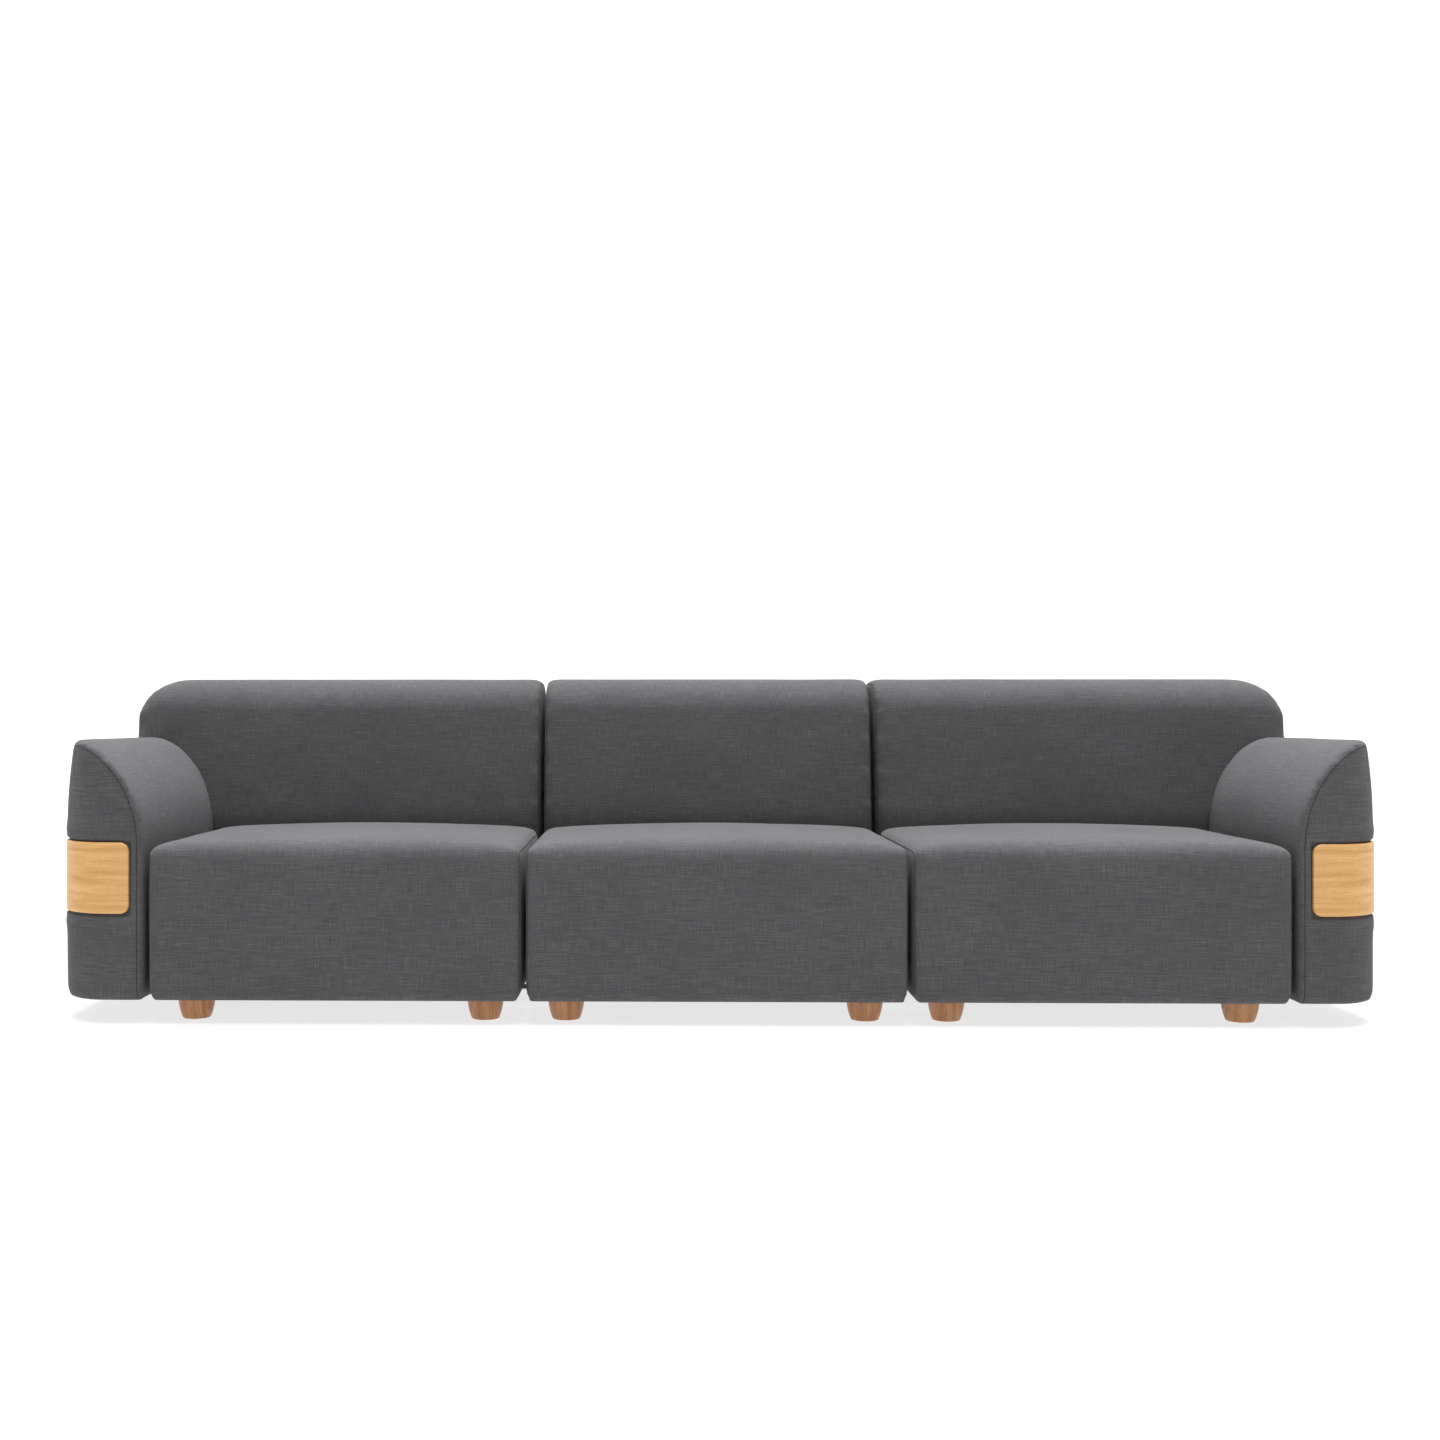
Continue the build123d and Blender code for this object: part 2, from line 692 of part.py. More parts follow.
def make_arm_frame():
    """A plywood ladder: base, top rail, two end posts, a middle post and a shelf rail for the band's screws."""
    bottom, top = frame_bottom, arm_frame_top
    low, high = arm_frame_y
    middle = (low + high) / 2
    shelf = band_bottom + band_height / 2
    with BuildPart() as arm_frame:
        cuboid(arm_frame_x, arm_frame_y, (bottom, top))
        cells_y = ((low + arm_post, middle - arm_post / 2), (middle + arm_post / 2, high - arm_post))
        cells_z = ((bottom + rail_height, shelf - arm_post), (shelf + arm_post, top - arm_post))
        for cell_y in cells_y:
            for cell_z in cells_z:
                cuboid(arm_frame_x, cell_y, cell_z, Mode.SUBTRACT)
        rods(arm_bolt_places(arm_frame_x[0]), (1, 0, 0), bolt_radius + hole_ease, arm_frame_thickness)
        rods(band_screw_places(arm_frame_x[0]), (1, 0, 0), screw_radius + 0.2, arm_frame_thickness)
    return arm_frame.part


def make_arm_foam():
    bay_x = (arm_frame_x[0] - ease, arm_frame_x[1] + ease)
    bay_y = (arm_frame_y[0] - ease, arm_frame_y[1] + ease)
    filling, channel = arm_block(fabric + ease), band_ring(fabric + 2 * ease)
    with BuildPart() as arm_foam:
        add(filling)
        add(channel, mode=Mode.SUBTRACT)
        cuboid(bay_x, bay_y, (0, arm_frame_top + ease), Mode.SUBTRACT)
        rods(arm_bolt_places(arm_inner), (1, 0, 0), bolt_radius + hole_ease, arm_width)
        rods(arm_bolt_places(arm_frame_x[1]), (1, 0, 0), dome_radius + 1, bolt_head_height + 1)
        rods(band_screw_places(arm_inner + wrap), (1, 0, 0), screw_head_radius + 1, arm_width - wrap)
    return arm_foam.part


def make_arm_cover():
    """Fabric over the arm, tucked into the band's channel and open below, under the frame."""
    outside, inside = arm_block(), arm_block(fabric)
    channel, inner_channel = band_ring(ease), band_ring(ease + fabric)
    with BuildPart() as filling:
        add(inside)
        add(inner_channel, mode=Mode.SUBTRACT)
    window_x = (arm_frame_x[0] - 2, arm_frame_x[1] + 2)
    window_y = (arm_frame_y[0] - 2, arm_frame_y[1] + 2)
    with BuildPart() as arm_cover:
        add(outside)
        add(channel, mode=Mode.SUBTRACT)
        add(filling.part, mode=Mode.SUBTRACT)
        cuboid(window_x, window_y, (0, frame_bottom), Mode.SUBTRACT)
        rods(arm_bolt_places(arm_inner - 1), (1, 0, 0), bolt_radius + hole_ease, wrap)
        rods(band_screw_places(arm_frame_x[1]), (1, 0, 0), screw_radius + 1, wrap)
    return arm_cover.part


def make_arm_bolts():
    """Long bolts from the arm's frame, through both covers and the open joint, into the seat's side rail."""
    start, end = side_outer - wrap - rail, arm_frame_x[1]
    with BuildPart() as arm_bolts:
        shank = end - start + thread_end
        rods(arm_bolt_places(start - thread_end), (1, 0, 0), bolt_radius, shank, Mode.ADD)
        rods(arm_bolt_places(start - nut_height), (1, 0, 0), barrel_radius, nut_height, Mode.ADD)
        rods(arm_bolt_places(end), (1, 0, 0), dome_radius, bolt_head_height, Mode.ADD)
    return arm_bolts.part


def make_module(centre):
    """One seat module's pieces, by name; an end module's back runs on over the arm's width."""
    low = centre - half_width(centre)
    high = back_outer if centre else half_width(centre)
    corner = back_corner_radius if centre else back_side_radius
    places = feet_places(centre, "front") + feet_places(centre, "rear")
    return {
        "seat_frame": make_seat_frame(centre),
        "seat_webbing": make_seat_webbing(centre),
        "seat_foam": make_seat_foam(centre),
        "seat_cover": make_seat_cover(centre),
        "back_frame": make_back_frame(low, high, centre),
        "back_foam": make_back_foam(low, high, corner, centre),
        "back_cover": make_back_cover(low, high, corner, centre),
        "back_bolts": make_back_bolts(centre),
        "dust_cover": make_dust_cover(low, centre + half_width(centre), centre),
        "foot_studs": make_foot_studs(places),
        "foot_nuts": make_foot_nuts(places),
        "front_inner_foot": make_foot(feet_places(centre, "front")[0]),
        "front_outer_foot": make_foot(feet_places(centre, "front")[1]),
        "rear_inner_foot": make_foot(feet_places(centre, "rear")[0]),
        "rear_outer_foot": make_foot(feet_places(centre, "rear")[1]),
    }


def make_arm():
    return {
        "arm_frame": make_arm_frame(),
        "arm_foam": make_arm_foam(),
        "arm_cover": make_arm_cover(),
        "arm_bolts": make_arm_bolts(),
        "wood_band": make_wood_band(),
        "band_screws": make_band_screws(),
        "keepers": make_keepers(),
    }


for name, piece in make_module(0).items():
    save(piece, f"centre_{name}".replace("inner", "left").replace("outer", "right"))
save(make_tongues(), "centre_tongues")

for name, piece in (make_module(end_centre) | make_arm()).items():
    save(mirror(piece, about=Plane.YZ), f"left_{name}")
    save(piece, f"right_{name}")
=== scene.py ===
# %% [markdown]
# # A modular sofa in woven fabric, with oak bands and turned oak feet
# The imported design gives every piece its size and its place, in metres: +X to the right, +Y to the
# rear, +Z up. This notebook dresses that design. The soft blocks are grown out of the covers by a
# cloth simulation, and the hard pieces keep their own shape and get a real finish.

# %% Load the frame
import math

import bmesh
import bpy
import numpy as np
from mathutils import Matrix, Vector, noise
from mathutils.bvhtree import BVHTree


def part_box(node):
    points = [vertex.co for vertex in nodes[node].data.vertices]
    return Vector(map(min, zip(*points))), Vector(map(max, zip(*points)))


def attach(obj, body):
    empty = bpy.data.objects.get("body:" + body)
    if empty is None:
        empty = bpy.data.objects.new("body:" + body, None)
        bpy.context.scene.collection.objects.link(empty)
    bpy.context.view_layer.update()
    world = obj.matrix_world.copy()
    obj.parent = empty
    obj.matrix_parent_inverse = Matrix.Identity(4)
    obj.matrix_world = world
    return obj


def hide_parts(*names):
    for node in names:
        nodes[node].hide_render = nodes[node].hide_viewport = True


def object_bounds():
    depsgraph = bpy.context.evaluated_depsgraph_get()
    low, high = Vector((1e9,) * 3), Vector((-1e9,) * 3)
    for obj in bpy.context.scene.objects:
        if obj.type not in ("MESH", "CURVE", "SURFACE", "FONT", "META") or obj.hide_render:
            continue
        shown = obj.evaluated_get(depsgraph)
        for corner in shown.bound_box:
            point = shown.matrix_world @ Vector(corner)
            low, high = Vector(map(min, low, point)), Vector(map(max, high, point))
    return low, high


MM = 0.001
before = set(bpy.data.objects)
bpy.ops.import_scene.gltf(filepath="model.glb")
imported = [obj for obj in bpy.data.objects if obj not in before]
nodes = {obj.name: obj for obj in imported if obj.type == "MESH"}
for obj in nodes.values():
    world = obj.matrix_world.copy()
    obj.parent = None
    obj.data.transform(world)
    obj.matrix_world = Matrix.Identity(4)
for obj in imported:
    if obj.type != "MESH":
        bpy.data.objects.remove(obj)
cad_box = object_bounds()
SIDES = ("left", "centre", "right")
ARM_SIDES = ("left", "right")
print("nodes", len(nodes), "box", [tuple(round(v, 3) for v in corner) for corner in cad_box])

# %% [markdown]
# ## One helper for every material
# A finish is a small graph of nodes. One function adds a node, sets its settings and links its
# sockets, so that each material below reads as a list of steps. Colours are written as the sRGB
# values that a paint or cloth card would give, and one function turns them to linear light.


# %% Colour and node helpers
MIX_A, MIX_B, MIX_RESULT = 6, 7, 2      # the colour sockets of a mix node


def linear(hex_colour):
    """An sRGB hex colour as the linear RGBA that shaders work in."""
    values = [int(hex_colour[i:i + 2], 16) / 255 for i in (1, 3, 5)]
    return tuple(v / 12.92 if v <= 0.04045 else ((v + 0.055) / 1.055) ** 2.4 for v in values) + (1.0,)


def put(tree, kind, inputs=None, **settings):
    """Add one node; an input is a value, or another node's output socket to link from."""
    node = tree.nodes.new(kind)
    for name, value in settings.items():
        setattr(node, name, value)
    for name, value in (inputs or {}).items():
        if isinstance(value, bpy.types.NodeSocket):
            tree.links.new(value, node.inputs[name])
        else:
            node.inputs[name].default_value = value
    return node


def new_material(name):
    """An empty material with its tree and its shader, ready to be wired."""
    material = bpy.data.materials.new(name)
    material.use_nodes = True
    tree = material.node_tree
    tree.nodes.clear()
    shader = put(tree, "ShaderNodeBsdfPrincipled")
    put(tree, "ShaderNodeOutputMaterial", {"Surface": shader.outputs["BSDF"]})
    return material, tree, shader


# %% [markdown]
# ## The upholstery cloth
# The cover is a plain weave of melange yarn, dark grey with paler flecks, like a wool and linen mix.
# Slubs, the thick places in the yarn, run as short lines along both thread directions. The threads
# are worked out from their real size, so they stay sharp at any distance and never repeat as a tiled
# swatch would. They follow each piece's own UV map, which is measured in metres along the cloth,
# so the weave turns over an edge with the fabric. Yarn here is a little under 2 mm thick, and a slub
# is some 40 mm long. Most colour comes from the weft, less from the warp, and a slow cloudiness
# comes from the dye.

# %% Melange weave
YARN = 1.7 * MM
SLUB_LENGTH = 42 * MM


def streaks(tree, uv, along, across, seed, detail=2.0):
    """Noise stretched into short threads: along and across are the sizes of one streak in metres."""
    scaled = put(tree, "ShaderNodeMapping", {"Vector": uv, "Location": (seed, seed * 0.7, 0)})
    scaled.inputs["Scale"].default_value = (1 / along, 1 / across, 1)
    return put(tree, "ShaderNodeTexNoise", {"Vector": scaled.outputs[0], "Scale": 1.0, "Detail": detail,
                                            "Roughness": 0.55}).outputs["Fac"]


def weighted_sum(tree, *terms):
    """Add several values, each multiplied by its weight."""
    total = None
    for value, weight in terms:
        total = put(tree, "ShaderNodeMath", {0: value, 1: weight, 2: total or 0.0},
                    operation="MULTIPLY_ADD").outputs[0]
    return total


def melange_weave(name, dark, middle, pale):
    material, tree, shader = new_material(name)
    uv = put(tree, "ShaderNodeUVMap", uv_map="cloth").outputs[0]
    weft = streaks(tree, uv, SLUB_LENGTH, YARN, 3.0)
    warp = streaks(tree, uv, YARN, SLUB_LENGTH, 11.0)
    long_weft = streaks(tree, uv, SLUB_LENGTH * 2.5, YARN * 1.8, 31.0)
    flecks = streaks(tree, uv, 3 * MM, 2 * MM, 23.0, detail=4.0)
    cloudy = streaks(tree, uv, 0.25, 0.2, 5.0, detail=3.0)
    total = weighted_sum(tree, (weft, 0.31), (warp, 0.29), (long_weft, 0.2), (flecks, 0.1), (cloudy, 0.1))
    ramp = put(tree, "ShaderNodeValToRGB", {"Fac": put(tree, "ShaderNodeMapRange", {
        "Value": total, "From Min": 0.32, "From Max": 0.68}).outputs[0]})
    stops = ramp.color_ramp.elements
    stops[0].position, stops[0].color = 0.0, linear(dark)
    stops[1].position, stops[1].color = 1.0, linear(pale)
    stops.new(0.5).color = linear(middle)
    tree.links.new(ramp.outputs[0], shader.inputs["Base Color"])
    bump = put(tree, "ShaderNodeBump", {"Height": total, "Strength": 0.5, "Distance": 1.2 * MM})
    tree.links.new(bump.outputs[0], shader.inputs["Normal"])
    shader.inputs["Roughness"].default_value = 0.92
    shader.inputs["Specular IOR Level"].default_value = 0.2
    shader.inputs["Sheen Weight"].default_value = 0.1
    shader.inputs["Sheen Roughness"].default_value = 0.55
    shader.inputs["Sheen Tint"].default_value = linear("#c9c9cc")
    return material


cover_cloth = melange_weave("dark_grey_melange_weave", "#474749", "#59595b", "#777779")
print("cloth:", cover_cloth.name)

# %% [markdown]
# ## Bent oak and turned oak
# The bands are strips of light oak, bent round the arm's front corner and finished with a satin
# oil. Oak shows growth lines along the strip and short dark pores. The lines follow the strip: the
# distance along it is how far a point lies out along the sofa added to how far back it lies, which
# grows steadily from one end of the band, round the bend, to the other. The feet are oak turned on
# a lathe and stained a redder brown, with their grain upright.


# %% Oak finishes
def wood(name, pale, brown, pore, upright=False, roughness=0.42):
    """Oak: broad figure, fine lines and short pores, all drawn out along the grain."""
    material, tree, shader = new_material(name)
    place = put(tree, "ShaderNodeTexCoord").outputs["Object"]
    axes = put(tree, "ShaderNodeSeparateXYZ", {"Vector": place}).outputs
    if upright:
        grain = put(tree, "ShaderNodeCombineXYZ", {"X": axes["Z"], "Y": axes["X"], "Z": axes["Y"]})
    else:
        out = put(tree, "ShaderNodeMath", {0: axes["X"]}, operation="ABSOLUTE").outputs[0]
        along = put(tree, "ShaderNodeMath", {0: out, 1: axes["Y"]}, operation="ADD").outputs[0]
        grain = put(tree, "ShaderNodeCombineXYZ", {"X": along, "Y": axes["Z"]})
    figure = streaks(tree, grain.outputs[0], 0.22, 13 * MM, 2.0, detail=4.0)
    lines = streaks(tree, grain.outputs[0], 0.09, 2.2 * MM, 7.0, detail=3.0)
    pores = streaks(tree, grain.outputs[0], 11 * MM, 0.8 * MM, 13.0)
    tone = put(tree, "ShaderNodeMapRange", {"Value": weighted_sum(tree, (figure, 0.6), (lines, 0.4)),
                                            "From Min": 0.38, "From Max": 0.64})
    holes = put(tree, "ShaderNodeMapRange", {"Value": pores, "From Min": 0.56, "From Max": 0.72,
                                             "To Max": 0.6})
    body = put(tree, "ShaderNodeMix", {"Factor": tone.outputs[0]}, data_type="RGBA")
    colour = put(tree, "ShaderNodeMix", {"Factor": holes.outputs[0]}, data_type="RGBA")
    body.inputs[MIX_A].default_value = linear(pale)
    body.inputs[MIX_B].default_value = linear(brown)
    colour.inputs[MIX_B].default_value = linear(pore)
    tree.links.new(body.outputs[MIX_RESULT], colour.inputs[MIX_A])
    tree.links.new(colour.outputs[MIX_RESULT], shader.inputs["Base Color"])
    bump = put(tree, "ShaderNodeBump", {"Height": pores, "Strength": 0.3, "Distance": 0.3 * MM},
               invert=True)
    tree.links.new(bump.outputs[0], shader.inputs["Normal"])
    shader.inputs["Roughness"].default_value = roughness
    return material


band_oak = wood("oiled_light_oak", "#f9c684", "#dda157", "#b47b41")
foot_oak = wood("stained_turned_oak", "#d29a6b", "#aa6e42", "#7a4829", upright=True)
print("oak:", band_oak.name, foot_oak.name)

# %% [markdown]
# ## What is hidden inside and underneath
# Birch plywood rails, cut foam, woven elastic webbing, a black spunbond cloth below and zinc-plated
# steel. They are seldom seen, but a part in a library is turned over and taken apart, so each gets
# the texture that tells it from the others.


# %% Inner finishes
def speckled(name, base, fleck, size, roughness, metallic=0.0, stretch=1.0, strength=0.3):
    """A plain stuff with one pattern: noise of a real size, drawn out along X by the stretch."""
    material, tree, shader = new_material(name)
    place = put(tree, "ShaderNodeTexCoord").outputs["Object"]
    scaled = put(tree, "ShaderNodeMapping", {"Vector": place})
    scaled.inputs["Scale"].default_value = (1 / (size * stretch), 1 / size, 1 / size)
    grain = put(tree, "ShaderNodeTexNoise", {"Vector": scaled.outputs[0], "Scale": 1.0, "Detail": 3.0})
    colour = put(tree, "ShaderNodeMix", {"Factor": grain.outputs["Fac"]}, data_type="RGBA")
    colour.inputs[MIX_A].default_value = linear(base)
    colour.inputs[MIX_B].default_value = linear(fleck)
    bump = put(tree, "ShaderNodeBump", {"Height": grain.outputs["Fac"], "Strength": strength,
                                        "Distance": 0.4 * MM})
    tree.links.new(colour.outputs[MIX_RESULT], shader.inputs["Base Color"])
    tree.links.new(bump.outputs[0], shader.inputs["Normal"])
    shader.inputs["Roughness"].default_value = roughness
    shader.inputs["Metallic"].default_value = metallic
    return material


birch_ply = speckled("sanded_birch_plywood", "#cfae7c", "#b08a58", 3 * MM, 0.62, stretch=14.0)
cut_foam = speckled("cut_upholstery_foam", "#e2dcc4", "#c9c1a2", 2 * MM, 0.95)
webbing = speckled("elastic_webbing", "#2a2a2c", "#4a4a4e", 1.5 * MM, 0.85, stretch=6.0)
spunbond = speckled("black_spunbond_cloth", "#141415", "#2b2b2d", 4 * MM, 0.9)
zinc_steel = speckled("bright_zinc_plate", "#c5c8cc", "#a9adb3", 6 * MM, 0.34, metallic=1.0, strength=0.1)

FINISHES = {
    "wood_band": band_oak,
    "foot": foot_oak,
    "frame": birch_ply,
    "foam": cut_foam,
    "webbing": webbing,
    "dust_cover": spunbond,
    "cover": cover_cloth,
    "bolts": zinc_steel,
    "studs": zinc_steel,
    "nuts": zinc_steel,
    "screws": zinc_steel,
    "tongues": zinc_steel,
    "keepers": zinc_steel,
}


# %% Put a finish on every piece of the design
def dress(node_name):
    """Give a node of the design the finish whose key ends its name."""
    key = next(key for key in FINISHES if node_name.endswith(key))
    materials = nodes[node_name].data.materials
    materials.clear()
    materials.append(FINISHES[key])


for node_name in nodes:
    dress(node_name)
print("dressed", len(nodes), "nodes")

# %% [markdown]
# ## Upholstered blocks
# Each seat, back and arm is foam in a tight cover. Real ones are not boxes: the cover rounds the
# edges and the foam pushes the faces out into a low crown. The outer form of a cover is convex,
# so the hull of its points gives a clean start. It is remeshed into even cells and blown up by a
# cloth simulation, which finds how far each place can swell: most in the middle of a face and least
# at the edges. The movement is scaled to the crown of the real foam, a few millimetres.

# %% How far the blocks swell
CELL = {"seat": 14 * MM, "back": 14 * MM, "arm": 10 * MM}   # size of one cell of cloth
CROWN = 5 * MM          # how far the place that swells most stands out
SIM_FRAMES = 20
scene = bpy.context.scene
depsgraph_of = bpy.context.evaluated_depsgraph_get


def add_piece(name, mesh):
    piece = bpy.data.objects.new(name, mesh)
    scene.collection.objects.link(piece)
    return piece


def bake_modifiers(piece):
    """Keep the shape that the piece's modifiers make, and drop the modifiers."""
    evaluated = piece.evaluated_get(depsgraph_of())
    mesh = bpy.data.meshes.new_from_object(evaluated)
    piece.modifiers.clear()
    old, piece.data = piece.data, mesh
    bpy.data.meshes.remove(old)


# %% The outer form of a cover
def outer_form(node_name, name, cell):
    """The convex hull of a cover, remeshed into even cells."""
    form = bmesh.new()
    form.from_mesh(nodes[node_name].data)
    bmesh.ops.remove_doubles(form, verts=form.verts, dist=0.01 * MM)
    hull = bmesh.ops.convex_hull(form, input=form.verts)
    outside = set(hull["geom"])
    spare = {e for key in ("geom_interior", "geom_unused", "geom_holes") for e in hull[key]}
    bmesh.ops.delete(form, geom=[e for e in spare if isinstance(e, bmesh.types.BMVert)], context="VERTS")
    bmesh.ops.delete(form, geom=[f for f in form.faces if f not in outside], context="FACES_ONLY")
    mesh = bpy.data.meshes.new(name)
    form.to_mesh(mesh)
    form.free()
    piece = add_piece(name, mesh)
    remesh = piece.modifiers.new("cells", "REMESH")
    remesh.mode = "VOXEL"
    remesh.voxel_size = cell
    remesh.use_smooth_shade = True
    bake_modifiers(piece)
    return piece


# %% Blow the cover up over its foam
def points_of(piece):
    flat = np.empty(len(piece.data.vertices) * 3)
    piece.data.vertices.foreach_get("co", flat)
    return flat.reshape(-1, 3)


def set_points(piece, points):
    piece.data.vertices.foreach_set("co", points.ravel())
    piece.data.update()


def normals_of(piece):
    flat = np.empty(len(piece.data.vertices) * 3)
    piece.data.vertices.foreach_get("normal", flat)
    return flat.reshape(-1, 3)


def swell(piece):
    """Simulate the tight cover under the push of its foam, and keep a scaled share of the swelling.

    Only the movement outward is kept: a real cover is cut to the block, so its edges don't draw in.
    """
    start, outward = points_of(piece), normals_of(piece)
    cloth = piece.modifiers.new("cloth", "CLOTH")
    settings = cloth.settings
    settings.quality = 4
    settings.mass = 0.3
    settings.tension_stiffness = 25
    settings.compression_stiffness = 25
    settings.shear_stiffness = 10
    settings.bending_stiffness = 2
    settings.use_pressure = True
    settings.uniform_pressure_force = 4
    settings.effector_weights.gravity = 0
    cloth.point_cache.frame_start = 1
    cloth.point_cache.frame_end = SIM_FRAMES
    for step in range(1, SIM_FRAMES + 1):
        scene.frame_set(step)
    bake_modifiers(piece)
    scene.frame_set(1)
    rise = np.maximum(((points_of(piece) - start) * outward).sum(axis=1), 0)
    highest = np.percentile(rise, 99)
    set_points(piece, start + outward * (np.minimum(rise / highest, 1) * CROWN)[:, None])
    print(f"{piece.name}: the foam pushed {highest * 1000:.0f} mm, kept {CROWN * 1000:.0f} mm")


def round_off(piece):
    """Smooth and subdivide once, so that the cells of the simulation don't show."""
    iron = piece.modifiers.new("iron", "SMOOTH")
    iron.factor = 0.5
    iron.iterations = 6
    smooth = piece.modifiers.new("smooth", "SUBSURF")
    smooth.levels = smooth.render_levels = 1
    bake_modifiers(piece)


# %% [markdown]
# ## Keep each block in its place
# A block stands close beside its neighbour, and its underside is stapled flat to its frame. An arm
# leans in a little towards its crest on the outer side. It stands against the back, so its rear is
# held to the back's lean. Its cloth sinks under the oak band, with a soft lip along the band's edges
# where the foam pushes past the strip.


# %% Planes and hollows
LEAN_IN = 17 * MM       # how far an arm's outer side has leaned in at its crest
LEAN_START = 440 * MM   # the height where it starts to lean
JOINT_BULGE = 2.5 * MM  # a side stands out this far at most, so that an open joint stays open
REAR_GAP = 3 * MM       # between an arm's rear and the back block
BACK_LEAN_START = 430 * MM  # the height where the back block starts to lean
BACK_LEAN = 62 / 355    # how far it leans for its height
SINK = 8 * MM           # how deep the band presses the cloth in
SINK_EDGE = 7 * MM      # the width over which the cloth comes back up
LIP = 2.2 * MM          # how far the cloth stands proud beside the band
LIP_AWAY = 26 * MM      # from the band's edge to the middle of the lip
LIP_WIDTH = 16 * MM
ANYWHERE = 9.0          # a bound far outside the sofa


def settle(piece, node_name):
    """Lay the underside flat on its frame, and keep the sides out of the open joints."""
    low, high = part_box(node_name)
    points, normals = points_of(piece), normals_of(piece)
    under = np.clip((-normals[:, 2] - 0.5) / 0.35, 0, 1)
    points[:, 2] += (low.z - points[:, 2]) * under
    points[:, 2] = np.maximum(points[:, 2], low.z)
    points[:, 0] = np.clip(points[:, 0], low.x - JOINT_BULGE, high.x + JOINT_BULGE)
    set_points(piece, points)


def hold_rear(piece, back_node):
    """Keep an arm's rear in front of the back block: upright first, then leaning with it."""
    arm_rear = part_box(back_node)[0].y - REAR_GAP
    points = points_of(piece)
    limit = arm_rear + np.maximum(points[:, 2] - BACK_LEAN_START, 0) * BACK_LEAN
    points[:, 1] = np.minimum(points[:, 1], limit)
    set_points(piece, points)


def step_in(value, low, high, width):
    """1 between low and high, falling smoothly to 0 over a width outside them."""
    rise = np.clip((value - low + width) / width, 0, 1) * np.clip((high + width - value) / width, 0, 1)
    return rise * rise * (3 - 2 * rise)


def leaned(out, height, side):
    """How far out a point of an arm stands, once its outer side leans in towards the crest."""
    low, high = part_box(f"{side}_arm_cover")
    inner, outer = sorted((abs(low.x), abs(high.x)))
    share = np.clip((out - inner) / (outer - inner), 0, 1) ** 2
    rise = np.clip((height - LEAN_START) / (high.z - LEAN_START), 0, 1) ** 2
    return out - LEAN_IN * share * rise


def sink_under_band(piece, side):
    """Press the cloth in under the oak band, and let it stand a little proud along the band's edges."""
    low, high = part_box(f"{side}_wood_band")
    inner_end = min(abs(low.x), abs(high.x))
    points, normals = points_of(piece), normals_of(piece)
    out = np.abs(points[:, 0])
    level = step_in(points[:, 2], low.z, high.z, SINK_EDGE)
    length = step_in(out, inner_end, ANYWHERE, SINK_EDGE)
    length *= step_in(points[:, 1], -ANYWHERE, high.y, SINK_EDGE)
    outward = np.abs(normals[:, 0]) * (np.sign(normals[:, 0]) == np.sign(points[:, 0]))
    facing = np.clip((np.maximum(outward, -normals[:, 1]) - 0.25) / 0.3, 0, 1)
    depth = SINK * level * length * facing
    from_lip = np.minimum(np.abs(points[:, 2] - low.z + LIP_AWAY), np.abs(points[:, 2] - high.z - LIP_AWAY))
    lip = LIP * np.exp(-(from_lip / LIP_WIDTH) ** 2) * length * facing * (1 - level)
    set_points(piece, points + normals * (lip - depth)[:, None])


def relax(piece, amount=0.8 * MM, size=0.16):
    """Tiny slow waves in the cloth, as any hand-pulled cover has."""
    points, normals = points_of(piece), normals_of(piece)
    waves = np.array([noise.noise(Vector(p) / size) for p in points])
    set_points(piece, points + normals * (waves * amount)[:, None])


# %% [markdown]
# ## Threads that follow the cloth
# The cover is cut from straight cloth, so the weft runs along the sofa on the seat, over its front
# edge and up the back. The UV map measures that: across is the distance along the sofa, and up is
# height plus depth, which grows steadily over a front edge. Behind the crest it is depth less
# height, for the same reason. Side panels are cut separately, with their own threads. An arm has
# a front panel, and one long panel that runs over its top, where the threads follow its length.


# %% Measure the cloth
def cloth_place(part, place, normal, behind):
    """Where a point of a panel lies on the flat cloth, in metres."""
    x, y, z = place
    out = abs(x)
    if part == "arm":
        if abs(normal.y) > 0.6:
            return x, z
        outward = normal.x * x > 0
        return y, z - out if outward else z + out
    if abs(normal.x) > 0.72:
        return y, z
    return x, y - z if behind else y + z


def lay_threads(piece, part):
    form = bmesh.new()
    form.from_mesh(piece.data)
    uv = form.loops.layers.uv.new("cloth")
    middle_y = sum(v.co.y for v in form.verts) / len(form.verts)
    for face in form.faces:
        behind = face.calc_center_median().y > middle_y and face.normal.y > -0.2
        for loop in face.loops:
            loop[uv].uv = cloth_place(part, loop.vert.co, face.normal, behind)
    form.to_mesh(piece.data)
    form.free()


def upholster(side, part, after=None):
    """One block, from the hull of its cover to a finished cushion, attached to its module."""
    cover = f"{side}_{part}_cover"
    piece = outer_form(cover, f"{side}_{part}_upholstery", CELL[part])
    swell(piece)
    round_off(piece)
    relax(piece)
    settle(piece, cover)
    if after:
        after(piece, side)
    lay_threads(piece, part)
    piece.data.materials.clear()
    piece.data.materials.append(cover_cloth)
    for polygon in piece.data.polygons:
        polygon.use_smooth = True
    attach(piece, f"{side}_module")
    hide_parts(cover, f"{side}_{part}_foam")
    print(piece.name, len(piece.data.polygons), "faces")
    return piece


def shape_arm(piece, side):
    points = points_of(piece)
    points[:, 0] = np.sign(points[:, 0]) * leaned(np.abs(points[:, 0]), points[:, 2], side)
    set_points(piece, points)
    sink_under_band(piece, side)
    hold_rear(piece, f"{side}_back_cover")


